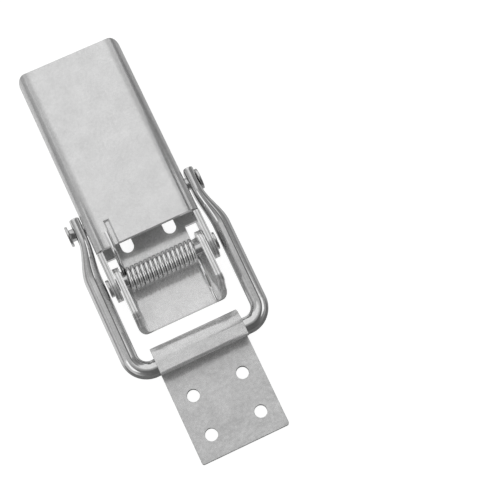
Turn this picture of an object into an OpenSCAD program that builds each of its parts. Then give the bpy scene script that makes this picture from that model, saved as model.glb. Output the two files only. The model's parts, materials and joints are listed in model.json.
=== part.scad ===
// Spring-loaded toggle latch for a trailer door, shut, with its bail in the keeper.
// X runs across the latch, +Y towards the free end of the lever, +Z away from the door.
// The origin is the middle of the base's screw pattern, on the door's surface.

/* [Sheet metal] */
// Thickness of the folded sheets
sheet_t = 2.8; // [2:0.1:3.2]
// Inner radius of the sheets' folds
fold_r = 1.5; // [1:0.1:2]
// Rounding of the plates' outer corners
plate_corner_r = 1; // [0.5:0.1:4]
// Diameter of the screw holes
screw_hole_d = 5.5; // [4:0.1:6]

/* [Base] */
// How far the wide end stands out beyond each cheek
wide_lip = 0.85; // [0:0.05:2]
// Length of the wide end, from its rear edge to the fold reliefs
base_wide_l = 29.6; // [28:0.1:36]
// Distance from the screw pattern's middle to the rear edge
base_rear = 18.5; // [14:0.1:24]
// Distance across the screw pattern
base_screws_x = 20; // [16:0.5:24]
// Distance along the screw pattern
base_screws_y = 14.8; // [13:0.1:16]
// Length of the base's slotted screw holes, end to end
slot_l = 8.5; // [6:0.1:9.5]
// Depth of the fold reliefs, from the cheeks' outer faces
relief_depth = 4.5; // [4.3:0.05:6]
// Distance from the axle to the base's front edge
base_front = 22.2; // [21:0.1:26]
// Distance from the axle to the middle of the cheeks' rounded front corners
cheek_top = 15; // [8:0.1:16]
// Rounding of the cheeks' front corners
cheek_knee_r = 3; // [1:0.1:5]
// Distance from the axle to the foot of the cheeks' front edge
cheek_foot = 19.2; // [17:0.1:20.5]
// Rounding of the base's front corners
base_front_corner_r = 3; // [1:0.5:3]

/* [Axle] */
// Distance from the screw pattern's middle to the axle
axle_back = 25; // [23:0.1:26]
// Height of the axle over the door
axle_z = 12; // [11.5:0.1:13]
// Diameter of the axle
axle_d = 5.5; // [4.5:0.1:6]
// Diameter of the axle's heads
axle_head_d = 7.8; // [7:0.1:9]
// Thickness of the axle's heads
axle_head_t = 1.4; // [1:0.1:1.8]
// Radius of the round ends of the ears and cheeks about the axle
ear_r = 7; // [6.5:0.1:7.5]

/* [Lever] */
// Width over the lever's two side flanges
lever_w = 47.3; // [44:0.1:56]
// Length of the lever's web, from its front edge to its free end
web_l = 86.2; // [70:0.1:110]
// Distance from the axle to the front edge of the web
web_front = 15.1; // [13:0.1:17]
// Gap in the fold between the web and each ear
ear_relief = 1; // [0.6:0.1:2]
// Rounding of the lever's free end, seen from above
lever_tip_r = 4; // [2:0.5:8]
// Rounding of the flanges' free corners
lever_corner_r = 2; // [1:0.5:4]
// Length of the pressed seat for the spring's arm
seat_l = 11.2; // [8:0.2:14]
// Width of the seat at its top
seat_w = 2.7; // [2:0.1:3.2]
// Width of the seat's floor
seat_floor_w = 1.4; // [0.8:0.1:1.8]
// Depth of the seat
seat_depth = 1; // [0.5:0.1:1.2]
// Distance from the middle of the spring's arm to the seat's edge
seat_side = 0.7; // [0.4:0.1:1.5]

/* [Torsion spring] */
// Diameter of the spring's wire
wire_d = 1.9; // [1.4:0.1:2]
// Outer diameter of the coil
coil_d = 11.1; // [10:0.1:11.5]
// Distance from one turn to the next
coil_pitch = 2.04; // [2.02:0.01:2.1]
// Offset of the coil to the left of the latch's middle
coil_offset = 0.6; // [0:0.1:0.8]
// Least gap between the coil's ends and the cheeks
coil_end_gap = 1.2; // [1:0.1:3]
// Length of the upper arm that lies on the web
upper_arm_l = 6.2; // [4:0.2:12]
// Overhang of the upper arm's bend beyond the web's front edge
upper_arm_overhang = 3; // [2:0.2:4]
// Length of the lower arm's step, from the coil's underside
lower_arm_l = 10; // [8:0.2:11]
// Run of the lower arm's slope down to the base
lower_arm_slope = 5.4; // [4:0.2:6]
// Inner radius of the arms' bends
arm_bend_r = 1.6; // [1:0.1:2]

/* [Bail] */
// Diameter of the bail's rod
rod_d = 7.6; // [7:0.1:8.2]
// Gap between the axle's left head and the bail's leg beside it
leg_gap = 0.5; // [0.3:0.05:3]
// How far the bail lies to the right on its pivots
bail_shift = 0.4; // [0:0.1:0.5]
// Centre-line radius of the bail's corners
bail_corner_r = 8; // [8:0.5:12]
// Thickness of the bail's flattened ends
eye_t = 4.4; // [4:0.1:6]
// Width of the flattened ends
eye_w = 10.8; // [9:0.1:12]
// Distance from the pivots to the cut ends of the rod
eye_end = 5.6; // [5:0.1:8]
// Rounding of the cut ends
eye_edge = 0.4; // [0.2:0.1:0.6]
// Distance from the pivots at which the legs start to bend inwards
joggle_start = 22; // [18:0.5:24]
// Distance from the pivots at which the legs are flat
joggle_end = 4; // [4:0.5:8]

/* [Bail pivots] */
// Distance from the axle to the pivots, along the latch
pivot_back = 28.1; // [26:0.1:30]
// Drop of the pivots below the axle
pivot_drop = 0.5; // [0:0.1:1]
// Diameter of the pivot pins
pivot_d = 5.5; // [4.5:0.1:6]
// Diameter of the pins' outer heads
pivot_head_d = 9.2; // [8:0.1:10]
// Thickness of the pins' heads
pivot_head_t = 1.2; // [1:0.1:2]
// Diameter of the pins' riveted tails
pivot_tail_d = 7.6; // [6.5:0.1:9]
// Thickness of the tails
pivot_tail_t = 0.8; // [0.5:0.1:1.2]
// Play between the left eye and its pin's head
left_play = 1.9; // [0.2:0.1:2]
// Play between the right eye and its pin's head
right_play = 0.2; // [0.2:0.1:1.6]

/* [Keeper] */
// Distance from the base's front edge to the hook's bend
base_keeper_gap = 7.6; // [3:0.1:12]
// Width of the keeper
keeper_w = 40; // [36:0.5:44]
// Length of the flat plate, from the middle of the hook's bend
keeper_l = 45.5; // [43:0.1:52]
// Inner radius of the hook's bend
hook_r = 4.5; // [4.5:0.1:5]
// Length of the lip, from the middle of the hook's bend
lip_l = 5.9; // [4:0.1:8]
// Distance across the keeper's screw pattern
keeper_screws_x = 22.8; // [20:0.1:26]
// Distance along the keeper's screw pattern
keeper_screws_y = 18; // [14:0.1:19]
// Distance from the far edge to the nearest screws
keeper_edge = 10; // [8:0.1:11]

/* [Clearances] */
// Gap between each cheek of the base and the lever's flange beside it
cheek_clear = 0.3; // [0.2:0.05:0.6]
// Radial clearance of the pins in their bores
pin_clear = 0.05; // [0.02:0.01:0.1]
// Gap between faces that slide past each other
side_clear = 0.3; // [0.3:0.05:0.5]
// Gap where one piece lies on another
rest_gap = 0.05; // [0.03:0.01:0.1]
// Play between the cross rod and the bend of the hook
hook_play = 1.5; // [0.5:0.1:2]

/* [Hidden] */
$fn = 64;
overrun = 1;
joggle_lap = 0.5;
leg_skin = 0.02;
leg_sides = 24;
leg_steps = 8;

// Finishes
zinc_sheet = [0.74, 0.74, 0.75];
bright_steel = [0.82, 0.82, 0.83];
spring_steel = [0.66, 0.66, 0.68];

// Places along the latch
axle_y = -axle_back;
pivot_y = axle_y + pivot_back;
pivot_z = axle_z - pivot_drop;
web_front_y = axle_y + web_front;
web_top_z = axle_z + ear_r;
flange_foot_z = axle_z - ear_r;
base_front_y = axle_y - base_front;
base_notch_y = base_rear - base_wide_l;

// Widths that follow the lever's
lever_inner_w = lever_w - 2 * sheet_t;
cheek_w = lever_inner_w - 2 * cheek_clear;
base_w = cheek_w + 2 * wide_lip;
neck_w = cheek_w - 2 * relief_depth;

// Folds
fold_outer_r = fold_r + sheet_t;

// Bail and keeper
rod_r = rod_d / 2;
rod_z = sheet_t + rest_gap + rod_r;
axle_head_x = lever_w / 2 + rest_gap;
bail_w = 2 * (axle_head_x + axle_head_t + leg_gap + bail_shift + rod_r);
eye_mid_x = lever_w / 2 + side_clear + bail_shift + eye_t / 2;
hook_mid_y = base_front_y - base_keeper_gap - sheet_t - hook_r;
hook_mid_z = sheet_t + hook_r;
rod_y = hook_mid_y + hook_r - hook_play - rod_r;
bail_l = norm([pivot_y - rod_y, pivot_z - rod_z]);
bail_tilt = asin((pivot_z - rod_z) / bail_l);
keeper_end_y = hook_mid_y - keeper_l;
keeper_screws_mid_y = keeper_end_y + keeper_edge + keeper_screws_y / 2;

// Spring: the coil's mean radius, its two arms and its number of facets
wire_r = wire_d / 2;
coil_r = (coil_d - wire_d) / 2;
wire_sides = 8;
steps_per_turn = 14;
arm_bend_steps = 4;
arm_r = arm_bend_r + wire_r;
upper_arm_z = web_top_z + rest_gap + wire_r;
upper_bend_y = web_front_y - upper_arm_overhang;
upper_tip_y = web_front_y + upper_arm_l;
lower_arm_z = sheet_t + rest_gap + wire_r;
lower_step_z = axle_z - coil_r;
lower_bend_y = axle_y - lower_arm_l;
lower_foot_y = lower_bend_y - lower_arm_slope;
lower_tip_y = base_front_y + rest_gap;
upper_bend_angle = atan2(upper_arm_z - axle_z, upper_bend_y - axle_y);
upper_bend_dist = norm([upper_bend_y - axle_y, upper_arm_z - axle_z]);
coil_start = upper_bend_angle - acos(coil_r / upper_bend_dist);
coil_room = cheek_w - 2 * (sheet_t + coil_end_gap) - wire_d;
coil_turns = floor(coil_room / coil_pitch);
coil_sweep = 360 * coil_turns + coil_start + 90;
coil_l = coil_pitch * coil_sweep / 360;
upper_x = -coil_offset - coil_l / 2;
lower_x = -coil_offset + coil_l / 2;
seat_x = upper_x + seat_side + seat_w / 2;

// Points round the corner at b, between a and c, with a bend of radius r
function unit(v) = v / norm(v);
function bend(a, b, c, r) =
    let (u = unit(a - b), w = unit(c - b))
    let (half = acos(u * w) / 2)
    let (mid = b + unit(u + w) * r / sin(half))
    let (start = b + u * r / tan(half) - mid, end = b + w * r / tan(half) - mid)
    let (turn = 180 - 2 * half)
    [for (i = [0:arm_bend_steps])
        mid + (start * sin(turn * (1 - i / arm_bend_steps)) + end * sin(turn * i / arm_bend_steps)) / sin(turn)];

// The wire's centre line, from the tip of the upper arm to the tip of the lower one
function coil_point(a, x) = [x, axle_y + coil_r * cos(a), axle_z + coil_r * sin(a)];
upper_tip = [upper_x, upper_tip_y, upper_arm_z];
upper_bend = [upper_x, upper_bend_y, upper_arm_z];
lower_bend = [lower_x, lower_bend_y, lower_step_z];
lower_foot = [lower_x, lower_foot_y, lower_arm_z];
lower_tip = [lower_x, lower_tip_y, lower_arm_z];
coil_steps = ceil(coil_sweep / 360 * steps_per_turn);
wire_path = concat(
    [upper_tip],
    bend(upper_tip, upper_bend, coil_point(coil_start, upper_x), arm_r),
    [for (i = [0:coil_steps])
        coil_point(coil_start - coil_sweep * i / coil_steps, upper_x + coil_l * i / coil_steps)],
    bend(coil_point(-90, lower_x), lower_bend, lower_foot, arm_r),
    bend(lower_bend, lower_foot, lower_tip, arm_r),
    [lower_tip]);

// A solid through rings of points, each ring turning right-handed about the way forward
module loft(rings) {
    last = len(rings) - 1;
    sides = len(rings[0]);
    walls = [for (i = [0:last - 1], k = [0:sides - 1])
        let (a = i * sides + k, b = i * sides + (k + 1) % sides)
        [a, a + sides, b + sides, b]];
    tail = [for (k = [0:sides - 1]) k];
    nose = [for (k = [0:sides - 1]) last * sides + sides - 1 - k];
    polyhedron(points = [for (ring = rings, p = ring) p], faces = concat([tail, nose], walls), convexity = 10);
}

// A round wire along a path that runs nearly square to X
module wire(path, r, sides) {
    last = len(path) - 1;
    loft([for (i = [0:last])
        let (t = unit(path[min(i + 1, last)] - path[max(i - 1, 0)]))
        let (n = unit(cross([1, 0, 0], t)))
        let (b = cross(t, n))
        [for (k = [0:sides - 1])
            path[i] + r * (n * cos(360 * k / sides) + b * sin(360 * k / sides))]]);
}

// A bar across the whole latch, with its side outline given in Y and Z
module across(width) {
    translate([-width / 2, 0, 0])
        rotate([90, 0, 90])
            linear_extrude(width) children();
}

// A round bar along X, from x to x + l
module bar_x(x, y, z, d, l) {
    translate([x, y, z]) rotate([0, 90, 0]) cylinder(d = d, h = l);
}

// Section of a folded channel, open towards +Y, as wide as w and as high as h
module channel_section(w, h) {
    flat_w = w - 2 * fold_outer_r;
    translate([-flat_w / 2, 0]) square([flat_w, sheet_t]);
    for (side = [-1, 1]) {
        translate([side * (w / 2 - sheet_t / 2) - sheet_t / 2, fold_outer_r])
            square([sheet_t, h - fold_outer_r]);
        intersection() {
            translate([side * flat_w / 2, fold_outer_r]) difference() {
                circle(r = fold_outer_r);
                circle(r = fold_r);
            }
            translate([side * (flat_w + fold_outer_r) / 2 - fold_outer_r / 2, 0])
                square([fold_outer_r, fold_outer_r]);
        }
    }
}

// A strip along +Y, w wide and l long, with its two far corners rounded by r
module rounded_strip(w, l, r) {
    translate([-w / 2, 0]) square([w, l - r]);
    translate([-w / 2 + r, 0]) square([w - 2 * r, l]);
    for (side = [-1, 1])
        translate([side * (w / 2 - r), l - r]) circle(r = r);
}

// Four screw holes through a plate that lies on the door, drawn out along Y by a run
module screw_holes(mid_y, gap_x, gap_y, run) {
    hole_h = sheet_t + 2 * overrun;
    for (sx = [-1, 1], sy = [-1, 1])
        translate([sx * gap_x / 2, mid_y + sy * gap_y / 2, -overrun]) {
            for (end = [-1, 1])
                translate([0, end * run / 2, 0]) cylinder(d = screw_hole_d, h = hole_h);
            if (run > 0)
                translate([-screw_hole_d / 2, -run / 2, 0]) cube([screw_hole_d, run, hole_h]);
        }
}

// Side outline of the cheeks: round behind the axle, level to a rounded corner, then down to the foot
module cheek_outline() {
    foot = [axle_y - cheek_foot, fold_outer_r + rest_gap];
    knee = [axle_y - cheek_top, web_top_z - cheek_knee_r];
    to_foot = foot - knee;
    touch = atan2(to_foot[1], to_foot[0]) + 360 - acos(cheek_knee_r / norm(to_foot));
    translate([axle_y, axle_z]) circle(r = ear_r);
    translate(knee) circle(r = cheek_knee_r);
    polygon([[axle_y + ear_r, 0], [axle_y + ear_r, axle_z], [axle_y, axle_z],
        [axle_y, web_top_z], [knee[0], web_top_z],
        knee + cheek_knee_r * [cos(touch), sin(touch)], foot,
        [base_front_y, sheet_t], [base_front_y, 0]]);
}

module base_plate() {
    color(zinc_sheet) difference() {
        union() {
            translate([0, base_notch_y, 0]) linear_extrude(sheet_t)
                rounded_strip(base_w, base_wide_l, plate_corner_r);
            translate([-neck_w / 2, axle_y, 0])
                cube([neck_w, base_notch_y - axle_y + overrun, sheet_t]);
            intersection() {
                translate([0, axle_y + ear_r, 0]) rotate([90, 0, 0])
                    linear_extrude(base_front + ear_r) channel_section(cheek_w, axle_z + ear_r);
                across(cheek_w) cheek_outline();
                translate([0, axle_y + ear_r, 0]) mirror([0, 1, 0]) linear_extrude(axle_z + ear_r)
                    rounded_strip(cheek_w, base_front + ear_r, base_front_corner_r);
            }
        }
        screw_holes(0, base_screws_x, base_screws_y, slot_l - screw_hole_d);
        bar_x(-cheek_w / 2 - overrun, axle_y, axle_z, axle_d + 2 * pin_clear, cheek_w + 2 * overrun);
    }
}

module axle_pin() {
    color(bright_steel) {
        bar_x(-axle_head_x, axle_y, axle_z, axle_d, 2 * axle_head_x);
        bar_x(-axle_head_x - axle_head_t, axle_y, axle_z, axle_head_d, axle_head_t);
        bar_x(axle_head_x, axle_y, axle_z, axle_head_d, axle_head_t);
    }
}

module torsion_spring() {
    color(spring_steel) wire(wire_path, wire_r, wire_sides);
}

// Side outline of the lever's flanges, with a round ear about the axle
module flange_outline() {
    relief_y = web_front_y - ear_relief;
    translate([axle_y, axle_z]) circle(r = ear_r);
    translate([axle_y, flange_foot_z]) square([relief_y - axle_y, 2 * ear_r]);
    translate([axle_y, flange_foot_z]) square([web_front, 2 * ear_r - fold_outer_r]);
}

module lever_handle() {
    color(zinc_sheet) difference() {
        union() {
            intersection() {
                translate([0, web_front_y + web_l, web_top_z]) rotate([90, 0, 0]) mirror([0, 1, 0])
                    linear_extrude(web_l) channel_section(lever_w, 2 * ear_r);
                translate([0, web_front_y, flange_foot_z]) linear_extrude(2 * ear_r)
                    rounded_strip(lever_w, web_l, lever_tip_r);
            }
            for (side = [-1, 1])
                translate([side * (lever_w - sheet_t) / 2, 0, 0]) across(sheet_t) flange_outline();
        }
        bar_x(-lever_w / 2 - overrun, axle_y, axle_z, axle_d + 2 * pin_clear, lever_w + 2 * overrun);
        bar_x(-lever_w / 2 - overrun, pivot_y, pivot_z, pivot_d, lever_w + 2 * overrun);
        seat_cut();
        lever_end_cut();
    }
}

// Seat pressed into the web beside the spring's arm, with sloping sides and end
module seat_cut() {
    slope = (seat_w - seat_floor_w) / 2;
    seat_end_y = web_front_y + seat_l;
    intersection() {
        translate([seat_x, seat_end_y, web_top_z]) rotate([90, 0, 0]) linear_extrude(seat_l + overrun)
            polygon([[-seat_w / 2, overrun], [-seat_w / 2, 0], [-seat_floor_w / 2, -seat_depth],
                [seat_floor_w / 2, -seat_depth], [seat_w / 2, 0], [seat_w / 2, overrun]]);
        translate([0, 0, web_top_z]) across(lever_w)
            polygon([[web_front_y - overrun, overrun], [web_front_y - overrun, -seat_depth],
                [seat_end_y - slope, -seat_depth], [seat_end_y, 0], [seat_end_y, overrun]]);
    }
}

// Rounds the lower corners of the flanges at the lever's free end
module lever_end_cut() {
    end_y = web_front_y + web_l;
    across(lever_w + 2 * overrun) difference() {
        translate([end_y - lever_corner_r, flange_foot_z - overrun])
            square([lever_corner_r + overrun, lever_corner_r + overrun]);
        translate([end_y - lever_corner_r, flange_foot_z + lever_corner_r]) circle(r = lever_corner_r);
    }
}

// A pivot pin, with its outer head to the right and the bail's eye shifted on it
module bail_pin(shift, play) {
    head_x = eye_mid_x + eye_t / 2 + shift + play;
    inner_x = lever_inner_w / 2 - pivot_tail_t;
    color(bright_steel) {
        bar_x(inner_x, pivot_y, pivot_z, pivot_d, head_x - inner_x);
        bar_x(head_x, pivot_y, pivot_z, pivot_head_d, pivot_head_t);
        bar_x(inner_x, pivot_y, pivot_z, pivot_tail_d, pivot_tail_t);
    }
}

module bail_pin_left() { mirror([1, 0, 0]) bail_pin(-bail_shift, left_play); }

module bail_pin_right() { bail_pin(bail_shift, right_play); }

// How far a leg has bent inwards and gone flat, at a share of its joggle
function eased(share) =
    let (t = max(0, min(1, share)))
    t * t * (3 - 2 * t);

// Section of a leg, drawn in by an inset: round where the joggle starts, and pressed flat at its end
function leg_ring(y, inset) =
    let (e = eased((y + joggle_start) / (joggle_start - joggle_end)))
    let (x = bail_w / 2 + (eye_mid_x - bail_w / 2) * e)
    let (half_t = rod_r + (eye_t / 2 - rod_r) * e - inset)
    let (half_w = rod_r + (eye_w / 2 - rod_r) * e - inset)
    let (bulge = (half_t + rod_r) / 2)
    [for (k = [0:leg_sides - 1])
        [x + max(-half_t, min(half_t, bulge * sin(360 * k / leg_sides))), y, half_w * cos(360 * k / leg_sides)]];

// One side of the bail, its pivot on the X axis and its leg along -Y
module bail_side() {
    leg_y = bail_corner_r - bail_l;
    joggle_l = joggle_start - joggle_end;
    difference() {
        union() {
            translate([bail_w / 2, -joggle_start, 0]) rotate([90, 0, 0])
                cylinder(d = rod_d, h = -joggle_start - leg_y);
            translate([bail_w / 2 - bail_corner_r, leg_y, 0])
                rotate([0, 0, -90]) rotate_extrude(angle = 90)
                    translate([bail_corner_r, 0]) circle(d = rod_d);
            loft(concat(
                [leg_ring(-joggle_start - joggle_lap, leg_skin)],
                [for (i = [0:leg_steps]) leg_ring(-joggle_start + joggle_l * i / leg_steps, leg_skin)],
                [leg_ring(eye_end - eye_edge, leg_skin)],
                [leg_ring(eye_end, eye_edge)]));
        }
        bar_x(eye_mid_x - eye_t / 2 - overrun, 0, 0, pivot_d + 2 * pin_clear, eye_t + 2 * overrun);
    }
}

module bail_loop() {
    color(bright_steel) translate([bail_shift, pivot_y, pivot_z]) rotate([bail_tilt, 0, 0]) {
        bail_side();
        mirror([1, 0, 0]) bail_side();
        bar_x(bail_corner_r - bail_w / 2, -bail_l, 0, rod_d, bail_w - 2 * bail_corner_r);
    }
}

// Side outline of the keeper: plate, half-round bend and lip
module keeper_outline() {
    outer_r = hook_r + sheet_t;
    tip_r = sheet_t / 2;
    translate([keeper_end_y, 0]) square([keeper_l, sheet_t]);
    intersection() {
        translate([hook_mid_y, hook_mid_z]) difference() {
            circle(r = outer_r);
            circle(r = hook_r);
        }
        translate([hook_mid_y, 0]) square([outer_r, 2 * outer_r]);
    }
    translate([hook_mid_y - lip_l + tip_r, hook_mid_z + hook_r]) square([lip_l - tip_r, sheet_t]);
    translate([hook_mid_y - lip_l + tip_r, hook_mid_z + hook_r + tip_r]) circle(r = tip_r);
}

module keeper_plate() {
    top_z = 2 * (hook_r + sheet_t);
    hook_end_y = hook_mid_y + hook_r + sheet_t;
    color(zinc_sheet) difference() {
        intersection() {
            across(keeper_w) keeper_outline();
            translate([0, hook_end_y, 0]) mirror([0, 1, 0]) linear_extrude(top_z)
                rounded_strip(keeper_w, hook_end_y - keeper_end_y, plate_corner_r);
        }
        screw_holes(keeper_screws_mid_y, keeper_screws_x, keeper_screws_y, 0);
    }
}

base_plate();
axle_pin();
torsion_spring();
lever_handle();
bail_pin_left();
bail_pin_right();
bail_loop();
keeper_plate();
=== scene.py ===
"""Looks of a spring-loaded toggle latch: plated finishes, drawn spring and bail, studio light and camera.

Named lengths are in millimetres and named angles in degrees. A length is multiplied by MM for Blender.
"""
import math

import bmesh
import bpy
from mathutils import Matrix, Vector
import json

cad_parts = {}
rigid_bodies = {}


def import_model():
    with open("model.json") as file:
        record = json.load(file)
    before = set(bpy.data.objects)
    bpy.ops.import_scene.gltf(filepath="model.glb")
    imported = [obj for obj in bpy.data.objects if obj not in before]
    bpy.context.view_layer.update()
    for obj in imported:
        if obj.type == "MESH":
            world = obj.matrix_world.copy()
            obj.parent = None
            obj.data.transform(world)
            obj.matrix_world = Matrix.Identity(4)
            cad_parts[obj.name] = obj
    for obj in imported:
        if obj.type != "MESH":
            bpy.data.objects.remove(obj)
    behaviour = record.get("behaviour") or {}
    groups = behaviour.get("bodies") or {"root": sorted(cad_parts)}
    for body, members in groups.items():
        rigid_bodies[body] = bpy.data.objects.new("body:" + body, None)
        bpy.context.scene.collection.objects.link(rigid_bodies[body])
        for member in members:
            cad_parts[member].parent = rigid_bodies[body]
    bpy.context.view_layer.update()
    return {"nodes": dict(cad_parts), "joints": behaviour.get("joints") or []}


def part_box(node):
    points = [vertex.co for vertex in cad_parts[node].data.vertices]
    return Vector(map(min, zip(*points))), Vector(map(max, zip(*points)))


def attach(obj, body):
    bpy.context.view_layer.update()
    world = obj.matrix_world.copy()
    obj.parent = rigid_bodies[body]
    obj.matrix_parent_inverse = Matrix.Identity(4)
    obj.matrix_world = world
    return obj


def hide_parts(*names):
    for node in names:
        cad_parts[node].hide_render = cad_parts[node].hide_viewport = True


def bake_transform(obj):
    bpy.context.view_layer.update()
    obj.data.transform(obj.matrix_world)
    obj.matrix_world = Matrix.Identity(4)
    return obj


MM = 0.001

for left_over in list(bpy.data.objects):
    bpy.data.objects.remove(left_over)

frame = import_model()
nodes = frame["nodes"]

# Sizes that several pieces share
hinges = {joint["name"]: Vector(joint["pos_m"]) / MM for joint in frame["joints"]}
AXLE = hinges["lever_hinge"]
PIVOT = hinges["bail_hinge"]
SHEET_T = 2.8
CHEEK_CLEAR = 0.3
LEVER_HALF_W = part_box("lever_handle")[1].x / MM
CHEEKS_HALF_W = LEVER_HALF_W - SHEET_T - CHEEK_CLEAR


# Node helpers
def emptied(owner):
    """The node tree of a new material or world, with nothing in it yet."""
    owner.use_nodes = True
    owner.node_tree.nodes.clear()
    return owner.node_tree


def add(tree, kind, settings=None, **inputs):
    """Adds a node. Settings are its own values. Inputs are values or sockets, by name or as i0, i1 and on."""
    node = tree.nodes.new(kind)
    for key, value in (settings or {}).items():
        setattr(node, key, value)
    for key, value in inputs.items():
        numbered = key[0] == "i" and key[1:].isdigit()
        socket = node.inputs[int(key[1:]) if numbered else key.replace("_", " ")]
        if isinstance(value, bpy.types.NodeSocket):
            tree.links.new(value, socket)
        else:
            socket.default_value = value
    return node


def noise(tree, place, scale, detail, roughness, stretch=(1, 1, 1)):
    """Noise about 0.5, its grain 1/scale of a metre across and drawn out along an axis by a low stretch."""
    mapping = add(tree, "ShaderNodeMapping", Vector=place, Scale=stretch)
    return add(tree, "ShaderNodeTexNoise", Vector=mapping.outputs[0], Scale=scale, Detail=detail,
               Roughness=roughness).outputs[0]


def xyz(tree, vector):
    """The three sockets of a vector's parts."""
    return add(tree, "ShaderNodeSeparateXYZ", Vector=vector).outputs


def math_node(tree, operation, value, *others):
    """Puts a value through an operation alone, or with each of the others in turn."""
    for other in others or (0.0,):
        value = add(tree, "ShaderNodeMath", {"operation": operation}, i0=value, i1=other).outputs[0]
    return value


def ranged(tree, value, low, high, to_low, to_high):
    """Maps a value from one range to another, without going past its ends."""
    return add(tree, "ShaderNodeMapRange", i0=value, i1=low, i2=high, i3=to_low, i4=to_high).outputs[0]


def plateau(tree, value, rise_start, rise_end, fall_start, fall_end):
    """One between a rise and a fall, and nothing outside them."""
    return math_node(tree, "MULTIPLY", ranged(tree, value, rise_start, rise_end, 0.0, 1.0),
                     ranged(tree, value, fall_start, fall_end, 1.0, 0.0))


def curve(tree, value, stops):
    """A level read off a few stops from 0 to 1, with straight runs between them."""
    ramp = add(tree, "ShaderNodeValToRGB", i0=value)
    points = ramp.color_ramp.elements
    while len(points) < len(stops):
        points.new(0.5)
    for point, (position, level) in zip(points, stops):
        point.position = position
        point.color = (level, level, level, 1)
    return add(tree, "ShaderNodeSeparateColor", i0=ramp.outputs[0]).outputs[0]


# Painted shade along the lever's two long bends, behind the front of its web, standing in for the shade
# that its rounded folds catch: the tone at shares of the bend's reach, from the lever's outer side inwards
BEND_SHADE_REACH = 6.3
BEND_SHADE_TONES = ((0.0, 1.0), (0.1, 0.96), (0.2, 0.82), (0.35, 0.68), (0.5, 0.7), (0.65, 0.66), (0.78, 0.76),
              (0.9, 0.92), (1.0, 1.0))
WEB_FRONT_Y = -10.2


def inwards(tree, x, half_width):
    """How far inside a folded sheet's outer sides a point is, in metres."""
    return math_node(tree, "SUBTRACT", half_width * MM, math_node(tree, "ABSOLUTE", x))


# Painted shade: the lever's web darker across each long bend
def painted_bend_shade(tree, place, half_width):
    x, y, _ = xyz(tree, place)
    share = math_node(tree, "DIVIDE", inwards(tree, x, half_width), BEND_SHADE_REACH * MM)
    in_front = math_node(tree, "LESS_THAN", y, WEB_FRONT_Y * MM)
    return math_node(tree, "MAXIMUM", curve(tree, share, BEND_SHADE_TONES), in_front)


# Painted shade and highlight lines on the cut top edges of cheeks and ears, standing in for how light
# falls on their rounded rollover, in front of the web and above the flanges' foot: the tone at shares of
# the sheet's thickness, from its outer side inwards. They fade on faces that turn to the side, between
# these two shares of the normal
CUT_EDGE_SHADE_TONES = ((0.0, 1.1), (0.14, 1.1), (0.19, 0.4), (0.28, 0.4), (0.34, 1.0), (0.58, 1.0), (0.63, 0.55),
               (0.71, 0.55), (0.77, 1.05), (1.0, 1.0))
FLANGE_FOOT_Z = 5.0
SIDEWAYS = (0.1, 0.3)


# Painted shade and highlight lines across the cut top edges of a folded sheet
def painted_cut_edge_shade(tree, place, half_width):
    x, y, z = xyz(tree, place)
    share = math_node(tree, "DIVIDE", inwards(tree, x, half_width), SHEET_T * MM)
    normal_x = xyz(tree, add(tree, "ShaderNodeNewGeometry").outputs["Normal"])[0]
    where = math_node(tree, "MULTIPLY",
                      ranged(tree, math_node(tree, "ABSOLUTE", normal_x), *SIDEWAYS, 1.0, 0.0),
                      math_node(tree, "LESS_THAN", share, 1.0),
                      math_node(tree, "GREATER_THAN", share, 0.0),
                      math_node(tree, "GREATER_THAN", z, FLANGE_FOOT_Z * MM),
                      math_node(tree, "LESS_THAN", y, WEB_FRONT_Y * MM))
    painted_lines = math_node(tree, "SUBTRACT", curve(tree, share, CUT_EDGE_SHADE_TONES), 1.0)
    return math_node(tree, "ADD", 1.0, math_node(tree, "MULTIPLY", painted_lines, where))


# Zinc plate: the noises that make it uneven, the part of its range that each one uses, and the grain's run
CLOUDS = {"scale": 130, "detail": 3.0, "roughness": 0.55}
PATCHES = {"scale": 900, "detail": 2.0, "roughness": 0.6}
CRYSTALS = {"scale": 7000, "detail": 1.0, "roughness": 0.5}
GRAIN = {"scale": 2600, "detail": 2.0, "roughness": 0.6}
DENTS = {"scale": 420, "detail": 1.5, "roughness": 0.5}
CLOUD_RANGE = (0.3, 0.7)
PATCH_RANGE = (0.35, 0.65)
CRYSTAL_RANGE = (0.54, 0.64)
GRAIN_STRENGTH = 0.3
SHEET_GRAIN = (1.0, 0.15, 1.0)
ROD_GRAIN = (1.0, 0.06, 1.0)
EVEN_GRAIN = (1.0, 1.0, 1.0)


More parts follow.
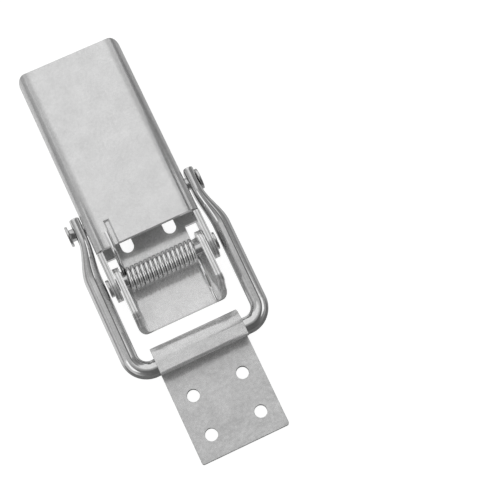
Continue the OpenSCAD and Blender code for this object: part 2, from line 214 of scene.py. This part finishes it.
def zinc(name, grey, metal, smooth, dull, mottle, stretch, grain_depth, dent_depth, half_width=None,
         bent=False):
    """Zinc plate on steel: cloudy tone, a fine mix of smooth and dull crystals, drawn grain and dents.

    A folded sheet gives its half width for painted shade and highlight lines on its cut top edges, and one
    that is bent gets painted shade along its long bends.
    """
    material = bpy.data.materials.new(name)
    tree = emptied(material)
    place = add(tree, "ShaderNodeTexCoord").outputs["Object"]
    tone = math_node(tree, "ADD",
                     ranged(tree, noise(tree, place, **CLOUDS), *CLOUD_RANGE, 1 - mottle, 1 + mottle),
                     ranged(tree, noise(tree, place, **PATCHES), *PATCH_RANGE, -mottle, mottle))
    level = math_node(tree, "MULTIPLY", tone, grey)
    # Painted shade and highlight lines on the cut top edges
    if half_width:
        level = math_node(tree, "MULTIPLY", level, painted_cut_edge_shade(tree, place, half_width))
    # Painted shade along the long bends
    if bent:
        level = math_node(tree, "MULTIPLY", level, painted_bend_shade(tree, place, half_width))
    colour = add(tree, "ShaderNodeCombineColor", i0=level, i1=level, i2=level).outputs[0]
    roughness = ranged(tree, noise(tree, place, **CRYSTALS), *CRYSTAL_RANGE, smooth, dull)
    dented = add(tree, "ShaderNodeBump", Strength=1.0, Distance=dent_depth * MM,
                 Height=noise(tree, place, **DENTS)).outputs[0]
    grained = add(tree, "ShaderNodeBump", Strength=GRAIN_STRENGTH, Distance=grain_depth * MM,
                  Height=noise(tree, place, **GRAIN, stretch=stretch), Normal=dented).outputs[0]
    shader = add(tree, "ShaderNodeBsdfPrincipled", Base_Color=colour, Metallic=metal, Roughness=roughness,
                 Normal=grained)
    add(tree, "ShaderNodeOutputMaterial", Surface=shader.outputs[0])
    return material


base_finish = zinc("zinc_base", grey=0.91, metal=0.58, smooth=0.14, dull=0.35, mottle=0.06,
                   stretch=SHEET_GRAIN, grain_depth=0.006, dent_depth=0.03, half_width=CHEEKS_HALF_W)
lever_finish = zinc("zinc_lever", grey=0.84, metal=0.6, smooth=0.17, dull=0.45, mottle=0.055,
                    stretch=SHEET_GRAIN, grain_depth=0.006, dent_depth=0.03, half_width=LEVER_HALF_W,
                    bent=True)
keeper_finish = zinc("zinc_keeper", grey=0.77, metal=0.6, smooth=0.2, dull=0.4, mottle=0.08,
                     stretch=SHEET_GRAIN, grain_depth=0.006, dent_depth=0.05)
rod_finish = zinc("zinc_rod", grey=0.72, metal=1.0, smooth=0.08, dull=0.16, mottle=0.05,
                  stretch=ROD_GRAIN, grain_depth=0.014, dent_depth=0.004)
rivet_finish = zinc("zinc_rivet", grey=0.6, metal=1.0, smooth=0.1, dull=0.2, mottle=0.05,
                    stretch=EVEN_GRAIN, grain_depth=0.003, dent_depth=0.01)
wire_finish = zinc("spring_wire", grey=0.85, metal=1.0, smooth=0.06, dull=0.15, mottle=0.02,
                   stretch=EVEN_GRAIN, grain_depth=0.002, dent_depth=0.002)

NODE_FINISHES = {
    "base_plate": base_finish,
    "lever_handle": lever_finish,
    "keeper_plate": keeper_finish,
    "bail_loop": rod_finish,
    "axle_pin": rivet_finish,
    "bail_pin_left": rivet_finish,
    "bail_pin_right": rivet_finish,
    "torsion_spring": wire_finish,
}
for node_name, finish in NODE_FINISHES.items():
    nodes[node_name].data.materials.clear()
    nodes[node_name].data.materials.append(finish)


# Rounded edges of the CAD nodes
SHEET_EDGES = 0.3
PIN_EDGES = 0.25
EDGE_ANGLE = 28
EDGE_SEGMENTS = 2
WELD_GAP = 0.001
FLAT_ANGLE = 0.5


def soften(node, width):
    """Rounds a CAD node's sharp edges with modifiers, its own mesh left as it is."""
    weld = node.modifiers.new("weld", "WELD")
    weld.merge_threshold = WELD_GAP * MM
    flat = node.modifiers.new("flat", "DECIMATE")
    flat.decimate_type = "DISSOLVE"
    flat.angle_limit = math.radians(FLAT_ANGLE)
    bevel = node.modifiers.new("bevel", "BEVEL")
    bevel.width = width * MM
    bevel.segments = EDGE_SEGMENTS
    bevel.limit_method = "ANGLE"
    bevel.angle_limit = math.radians(EDGE_ANGLE)
    bevel.harden_normals = True
    bevel.use_clamp_overlap = True


for node_name in ("base_plate", "lever_handle", "keeper_plate"):
    soften(nodes[node_name], SHEET_EDGES)
for node_name in ("axle_pin", "bail_pin_left", "bail_pin_right"):
    soften(nodes[node_name], PIN_EDGES)


# Mesh helpers
def skin(name, rings):
    """A closed mesh over rings of points, all with as many points as the first."""
    sides = len(rings[0])
    mesh = bmesh.new()
    loops = [[mesh.verts.new(point * MM) for point in ring] for ring in rings]
    for near, far in zip(loops, loops[1:]):
        for k in range(sides):
            beside = (k + 1) % sides
            mesh.faces.new((near[k], far[k], far[beside], near[beside]))
    mesh.faces.new(loops[0])
    mesh.faces.new(list(reversed(loops[-1])))
    bmesh.ops.recalc_face_normals(mesh, faces=mesh.faces)
    data = bpy.data.meshes.new(name)
    mesh.to_mesh(data)
    mesh.free()
    return data


def placed(name, data):
    """A new object in the scene."""
    piece = bpy.data.objects.new(name, data)
    bpy.context.scene.collection.objects.link(piece)
    return piece


# Torsion spring: a coil on the axle, an upper arm on the lever's web and a stepped lower arm on the base.
# Its reach along the latch and up is the CAD node's
WIRE_R = 0.95
WIRE_RIM = 0.18
COIL_R = 4.6
COIL_PITCH = 2.04
COIL_TURNS = 15
COIL_MID_X = -0.6
ARM_BEND_R = 2.55
spring_low, spring_high = (corner_point / MM for corner_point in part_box("torsion_spring"))
UPPER_ARM_Z = spring_high.z - WIRE_R
UPPER_BEND_Y = AXLE.y + 12.1
UPPER_TIP_Y = spring_high.y
LOWER_ARM_Z = spring_low.z + WIRE_R
LOWER_BEND_Y = AXLE.y - 10.0
LOWER_FOOT_Y = LOWER_BEND_Y - 5.4
LOWER_TIP_Y = spring_low.y
STEPS_PER_TURN = 48
BEND_STEPS = 10
WIRE_SIDES = 20


def corner(a, b, c):
    """Points of an arc that rounds the wire's corner at b on the way from a to c."""
    u, w = (a - b).normalized(), (c - b).normalized()
    half = math.acos(u.dot(w)) / 2
    mid = b + (u + w).normalized() * ARM_BEND_R / math.sin(half)
    start, end = (b + side * ARM_BEND_R / math.tan(half) - mid for side in (u, w))
    turn = math.pi - 2 * half
    shares = [i / BEND_STEPS for i in range(BEND_STEPS + 1)]
    return [mid + (start * math.sin(turn * (1 - share)) + end * math.sin(turn * share)) / math.sin(turn)
            for share in shares]


def spring_path():
    """The wire's centre line from the upper arm's tip, round the axle, to the lower arm's tip."""
    rise, run = UPPER_ARM_Z - AXLE.z, UPPER_BEND_Y - AXLE.y
    first = math.atan2(rise, run) - math.acos(COIL_R / math.hypot(rise, run))
    sweep = 2 * math.pi * COIL_TURNS + first + math.pi / 2
    length = COIL_PITCH * sweep / (2 * math.pi)
    left, right = COIL_MID_X - length / 2, COIL_MID_X + length / 2

    def on_coil(angle, x):
        return Vector((x, AXLE.y + COIL_R * math.cos(angle), AXLE.z + COIL_R * math.sin(angle)))

    upper_tip = Vector((left, UPPER_TIP_Y, UPPER_ARM_Z))
    upper_bend = Vector((left, UPPER_BEND_Y, UPPER_ARM_Z))
    lower_bend = Vector((right, LOWER_BEND_Y, AXLE.z - COIL_R))
    lower_foot = Vector((right, LOWER_FOOT_Y, LOWER_ARM_Z))
    lower_tip = Vector((right, LOWER_TIP_Y, LOWER_ARM_Z))
    steps = math.ceil(sweep / (2 * math.pi) * STEPS_PER_TURN)
    path = [upper_tip]
    path += corner(upper_tip, upper_bend, on_coil(first, left))
    path += [on_coil(first - sweep * i / steps, left + length * i / steps) for i in range(steps + 1)]
    path += corner(on_coil(-math.pi / 2, right), lower_bend, lower_foot)
    path += corner(lower_bend, lower_foot, lower_tip)
    path.append(lower_tip)
    return path


def spring_rings(path):
    """Rings of points round the wire, a little smaller at its two cut ends."""
    first, last = path[0], path[-1]
    rim_share = 1 - WIRE_RIM / WIRE_R
    stations = [(first, rim_share), (first + (path[1] - first).normalized() * WIRE_RIM, 1.0)]
    stations += [(point, 1.0) for point in path[1:-1]]
    stations += [(last + (path[-2] - last).normalized() * WIRE_RIM, 1.0), (last, rim_share)]
    rings = []
    for i, (point, share) in enumerate(stations):
        ahead = stations[min(i + 1, len(stations) - 1)][0] - stations[max(i - 1, 0)][0]
        along = ahead.normalized()
        side = Vector((1, 0, 0)).cross(along).normalized()
        other = along.cross(side)
        turns = [2 * math.pi * k / WIRE_SIDES for k in range(WIRE_SIDES)]
        rings.append([point + WIRE_R * share * (side * math.cos(turn) + other * math.sin(turn))
                      for turn in turns])
    return rings


def drawn_spring():
    """The spring's wire, smooth but for its cut ends."""
    data = skin("drawn_spring", spring_rings(spring_path()))
    for face in data.polygons:
        face.use_smooth = len(face.vertices) == 4
    data.materials.append(wire_finish)
    return placed("drawn_spring", data)


spring = drawn_spring()
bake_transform(spring)
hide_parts("torsion_spring")


# Bail: one bent rod, its two ends joggled inwards, pressed flat and bored. Its reach across the latch is
# the CAD node's, and distances along its legs count from the pivots
ROD_R = 3.8
CROSS_ROD_Y, CROSS_ROD_Z = -62.9, 6.65
bail_low, bail_high = (corner_point / MM for corner_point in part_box("bail_loop"))
BAIL_SHIFT = (bail_high.x + bail_low.x) / 2
BAIL_HALF_W = (bail_high.x - bail_low.x) / 2 - ROD_R
BAIL_L = math.hypot(PIVOT.y - CROSS_ROD_Y, PIVOT.z - CROSS_ROD_Z)
BAIL_TILT = math.asin((PIVOT.z - CROSS_ROD_Z) / BAIL_L)
BAIL_CORNER_R = 8.0
SIDE_CLEAR = 0.3
EYE_T, EYE_W, EYE_END = 4.4, 10.8, 5.6
EYE_X = LEVER_HALF_W + SIDE_CLEAR + BAIL_SHIFT + EYE_T / 2
EYE_EDGE = 0.45
EYE_EDGE_RUN = 1.2 * EYE_EDGE
EYE_EDGE_INSETS = (1.0, 0.6, 0.25, 0.0)
EYE_RING_GAP = 0.4
JOGGLE_START, JOGGLE_END = 22.0, 4.0
BORE_R = 2.8
BORE_SIDES = 64
SHARP_ANGLE = 35
EYE_STEPS = 40
LEG_STEPS = 9
CORNER_STEPS = 24
ROD_SIDES = 48


def leg_station(y):
    """Middle and half sizes of the right leg at a distance along it, eased through the joggle."""
    share = max(0.0, min(1.0, (y + JOGGLE_START) / (JOGGLE_START - JOGGLE_END)))
    eased = share * share * (3 - 2 * share)
    middle = BAIL_HALF_W + (EYE_X - BAIL_HALF_W) * eased
    half_t = ROD_R + (EYE_T / 2 - ROD_R) * eased
    half_w = ROD_R + (EYE_W / 2 - ROD_R) * eased
    return Vector((middle, y, 0)), half_t, half_w


def bail_stations():
    """Middles, half sizes and outward directions of the rod, from the right eye to the left one."""
    outward = Vector((1, 0, 0))
    right = []
    for inset in EYE_EDGE_INSETS:
        place, half_t, half_w = leg_station(EYE_END - EYE_EDGE_RUN * (1 - inset) ** 2)
        right.append((place, half_t - EYE_EDGE * inset, half_w - EYE_EDGE * inset, outward))
    eye_y = EYE_END - EYE_EDGE_RUN - EYE_RING_GAP
    leg_y = -JOGGLE_START
    bend_y = BAIL_CORNER_R - BAIL_L
    distances = [eye_y + (leg_y - eye_y) * i / EYE_STEPS for i in range(EYE_STEPS + 1)]
    distances += [leg_y + (bend_y - leg_y) * i / LEG_STEPS for i in range(1, LEG_STEPS + 1)]
    right += [(*leg_station(y), outward) for y in distances]
    hub = Vector((BAIL_HALF_W - BAIL_CORNER_R, bend_y, 0))
    for i in range(1, CORNER_STEPS + 1):
        turn = math.pi / 2 * i / CORNER_STEPS
        out = Vector((math.cos(turn), -math.sin(turn), 0))
        right.append((hub + BAIL_CORNER_R * out, ROD_R, ROD_R, out))
    left = [(Vector((-p.x, p.y, p.z)), t, w, Vector((-o.x, o.y, o.z))) for p, t, w, o in reversed(right)]
    return right + left


def bail_rings():
    """Rings of points round the rod, round where it is whole and flat-sided where it is pressed."""
    rings = []
    for place, half_t, half_w, out in bail_stations():
        bulge = (half_t + ROD_R) / 2
        ring = []
        for k in range(ROD_SIDES):
            turn = 2 * math.pi * k / ROD_SIDES
            reach = max(-half_t, min(half_t, bulge * math.sin(turn)))
            ring.append(place + out * reach + Vector((0, 0, half_w * math.cos(turn))))
        rings.append(ring)
    return rings


def bored(piece):
    """The piece's mesh with a bore through both eyes."""
    mesh = bmesh.new()
    across = Matrix.Rotation(math.pi / 2, 4, "Y")
    bmesh.ops.create_cone(mesh, cap_ends=True, segments=BORE_SIDES, radius1=BORE_R * MM,
                          radius2=BORE_R * MM, depth=4 * BAIL_HALF_W * MM, matrix=across)
    data = bpy.data.meshes.new("drill")
    mesh.to_mesh(data)
    mesh.free()
    drill = placed("drill", data)
    bore = piece.modifiers.new("bore", "BOOLEAN")
    bore.operation = "DIFFERENCE"
    bore.solver = "EXACT"
    bore.object = drill
    bpy.context.view_layer.update()
    depsgraph = bpy.context.evaluated_depsgraph_get()
    result = bpy.data.meshes.new_from_object(piece.evaluated_get(depsgraph))
    piece.modifiers.clear()
    bpy.data.objects.remove(drill)
    return result


def drawn_bail():
    """The rod with its two bored eyes, on its pivots and tilted down to the keeper."""
    piece = placed("drawn_bail", skin("drawn_bail", bail_rings()))
    piece.data = bored(piece)
    pivot = Vector((BAIL_SHIFT, PIVOT.y, PIVOT.z)) * MM
    piece.data.transform(Matrix.Translation(pivot) @ Matrix.Rotation(BAIL_TILT, 4, "X"))
    piece.data.shade_smooth()
    piece.data.set_sharp_from_angle(angle=math.radians(SHARP_ANGLE))
    piece.data.materials.clear()
    piece.data.materials.append(rod_finish)
    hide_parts("bail_loop")
    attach(piece, "bail")


drawn_bail()


# Floor of plain paper. It glows nearly white to the camera. In the metal it shows as a painted reflection at
# the levels that follow, each with its place in millimetres along the latch or across it: painted shade
# under the keeper, painted light close to the latch and at its left, and a spot of painted shade before each
# cheek
PAPER_GREY = 0.3
CAMERA_GLOW = 0.92
KEEPER_DIM = ((-66, 0.04), (-50, 1.0))
BESIDE_GLOW = ((24, 0.5), (36, 0.3))
LEFT_GLOW = ((-36, 0.3), (-24, 0.0))
SHADE_PATCH_LEVEL = -0.42
SHADE_PATCH_ALONG = (-58, -54, -45, -42)
SHADE_PATCH_ACROSS = (14, 16, 20.5, 21.2)
FLOOR_HALF = 10000
FLOOR_DROP = 0.02


def slope(tree, length, stops):
    """A level between two stops, each a length in millimetres and the level there."""
    (low, low_level), (high, high_level) = stops
    return ranged(tree, length, low * MM, high * MM, low_level, high_level)


def floor_paper():
    material = bpy.data.materials.new("floor_paper")
    tree = emptied(material)
    ray = add(tree, "ShaderNodeLightPath").outputs
    x, y, _ = xyz(tree, add(tree, "ShaderNodeTexCoord").outputs["Object"])
    apart = math_node(tree, "ABSOLUTE", x)
    # A spot of painted shade before each cheek, seen only in the metal
    painted_shade_patch = math_node(tree, "MULTIPLY", plateau(tree, y, *(edge * MM for edge in SHADE_PATCH_ALONG)),
                      plateau(tree, apart, *(edge * MM for edge in SHADE_PATCH_ACROSS)), SHADE_PATCH_LEVEL)
    level = math_node(tree, "ADD", slope(tree, apart, BESIDE_GLOW), slope(tree, x, LEFT_GLOW), painted_shade_patch)
    # Painted reflection: the floor's glow that only the metal sees, set by place
    mirrored = math_node(tree, "MAXIMUM", ray["Is Glossy Ray"], ray["Is Transmission Ray"])
    shine = math_node(tree, "MULTIPLY", mirrored, slope(tree, y, KEEPER_DIM), level)
    glow = math_node(tree, "ADD", math_node(tree, "MULTIPLY", ray["Is Camera Ray"], CAMERA_GLOW), shine)
    paper = add(tree, "ShaderNodeBsdfDiffuse", Color=(PAPER_GREY, PAPER_GREY, PAPER_GREY, 1)).outputs[0]
    white = add(tree, "ShaderNodeEmission", Color=(1, 1, 1, 1), Strength=glow).outputs[0]
    both = add(tree, "ShaderNodeAddShader", i0=paper, i1=white).outputs[0]
    add(tree, "ShaderNodeOutputMaterial", Surface=both)
    return material


def floor():
    half = FLOOR_HALF * MM
    mesh = bpy.data.meshes.new("floor")
    corners = [(-half, -half, 0), (half, -half, 0), (half, half, 0), (-half, half, 0)]
    mesh.from_pydata(corners, [], [(0, 1, 2, 3)])
    mesh.materials.append(floor_paper())
    piece = placed("floor", mesh)
    piece.location.z = -FLOOR_DROP * MM


floor()


# Light, by two angles: across the latch and along it, each from straight up. A wide bright panel overhead
# reaches down behind the lever and steps to the right there, two softboxes stand in front to the left and
# right, and the rest of the room is paler at the left than at the right. Past the floor's end the camera
# sees white
OVERHEAD_LEVELS = ((-22, 0.1), (-12, 0.3), (-1, 0.44), (4.5, 0.57), (6.5, 0.75), (9, 0.84), (14, 0.93),
                   (30, 0.93), (60, 0.95), (78, 1.0), (90, 0.85), (120, 0.6))
OVERHEAD_LEFT_EDGE = (-45, -31)
OVERHEAD_RIGHT_EDGE = (13, 21)
OVERHEAD_STEP = 13
OVERHEAD_STEP_ALONG = (17.0, 28.0)
LEFT_BOX = ((-52, -28), (-40, 3), 1.25)
RIGHT_BOX = ((31, 57), (-38, 6), 1.2)
BOX_SOFT = 3.5
FRONT_ROOM = ((-90, 0.5), (-70, 0.64), (-52, 0.7), (-40, 0.42), (-28, 0.22), (-12, 0.16), (12, 0.12),
              (30, 0.16), (45, 0.3), (60, 0.42), (75, 0.4), (90, 0.33))
REAR_ROOM = ((-90, 0.32), (-75, 0.34), (-60, 0.45), (-45, 0.55), (-30, 0.6), (30, 0.4), (40, 0.26),
             (50, 0.2), (65, 0.22), (90, 0.3))
REAR_ROOM_ALONG = (2.0, 30.0)


def levels(tree, degrees, stops):
    """Light level at an angle, read off a few stops with straight runs between them."""
    share = math_node(tree, "ADD", math_node(tree, "DIVIDE", degrees, 360.0), 0.5)
    return curve(tree, share, [(angle / 360 + 0.5, level) for angle, level in stops])


def band(tree, degrees, low, high):
    """One between two angles and nothing outside them, with soft edges."""
    return plateau(tree, degrees, low - BOX_SOFT, low + BOX_SOFT, high - BOX_SOFT, high + BOX_SOFT)


def softbox(tree, across, along, shape):
    """A softbox, by its two ranges of angles and its level."""
    across_range, along_range, level = shape
    return math_node(tree, "MULTIPLY", band(tree, across, *across_range), band(tree, along, *along_range),
                     level)


def overhead(tree, across, along):
    """The panel overhead, whose right edge steps outwards behind the latch."""
    step = ranged(tree, along, *OVERHEAD_STEP_ALONG, 0.0, OVERHEAD_STEP)
    left_edge = ranged(tree, across, *OVERHEAD_LEFT_EDGE, 0.0, 1.0)
    right_edge = ranged(tree, math_node(tree, "SUBTRACT", across, step), *OVERHEAD_RIGHT_EDGE, 1.0, 0.0)
    return math_node(tree, "MULTIPLY", left_edge, right_edge, levels(tree, along, OVERHEAD_LEVELS))


def room(tree, across, along):
    """The room round the lamps, one level in front of the latch and another behind it."""
    rear_share = ranged(tree, along, *REAR_ROOM_ALONG, 0.0, 1.0)
    front_share = math_node(tree, "SUBTRACT", 1.0, rear_share)
    return math_node(tree, "ADD", math_node(tree, "MULTIPLY", rear_share, levels(tree, across, REAR_ROOM)),
                     math_node(tree, "MULTIPLY", front_share, levels(tree, across, FRONT_ROOM)))


def studio():
    world = bpy.data.worlds.new("studio")
    bpy.context.scene.world = world
    tree = emptied(world)
    x, y, z = xyz(tree, add(tree, "ShaderNodeTexCoord").outputs["Generated"])
    upright = add(tree, "ShaderNodeCombineXYZ", Y=y, Z=z).outputs[0]
    rise = add(tree, "ShaderNodeVectorMath", {"operation": "LENGTH"}, i0=upright).outputs["Value"]
    across = math_node(tree, "DEGREES", math_node(tree, "ARCTAN2", x, rise))
    along = math_node(tree, "DEGREES", math_node(tree, "ARCTAN2", y, z))
    level = math_node(tree, "MAXIMUM", room(tree, across, along), overhead(tree, across, along),
                      softbox(tree, across, along, LEFT_BOX), softbox(tree, across, along, RIGHT_BOX),
                      add(tree, "ShaderNodeLightPath").outputs["Is Camera Ray"])
    background = add(tree, "ShaderNodeBackground", Color=(1, 1, 1, 1), Strength=level)
    add(tree, "ShaderNodeOutputWorld", Surface=background.outputs[0])


studio()


# Camera at the photograph's place: above the keeper's side of the latch, with the latch at the frame's left
CAMERA_PLACE = Vector((-22.784, -149.488, 526.501))
CAMERA_AIM = Vector((37.432, -32.284, 0.0))
CAMERA_ROLL = 25.422
CAMERA_LENS = 90.0
CAMERA_SENSOR = 36.0
CAMERA_NEAR, CAMERA_FAR = 10, 50000


def camera():
    data = bpy.data.cameras.new("camera")
    data.sensor_width = CAMERA_SENSOR
    data.lens = CAMERA_LENS
    data.clip_start = CAMERA_NEAR * MM
    data.clip_end = CAMERA_FAR * MM
    piece = placed("camera", data)
    bpy.context.scene.camera = piece
    forward = (CAMERA_AIM - CAMERA_PLACE).normalized()
    roll = math.radians(CAMERA_ROLL)
    up = Vector((math.sin(roll), math.cos(roll), 0))
    up = (up - forward * up.dot(forward)).normalized()
    right = forward.cross(up)
    turn = Matrix((right, up, -forward)).transposed().to_4x4()
    piece.matrix_world = Matrix.Translation(CAMERA_PLACE * MM) @ turn


camera()

bpy.context.scene.view_settings.view_transform = "Standard"
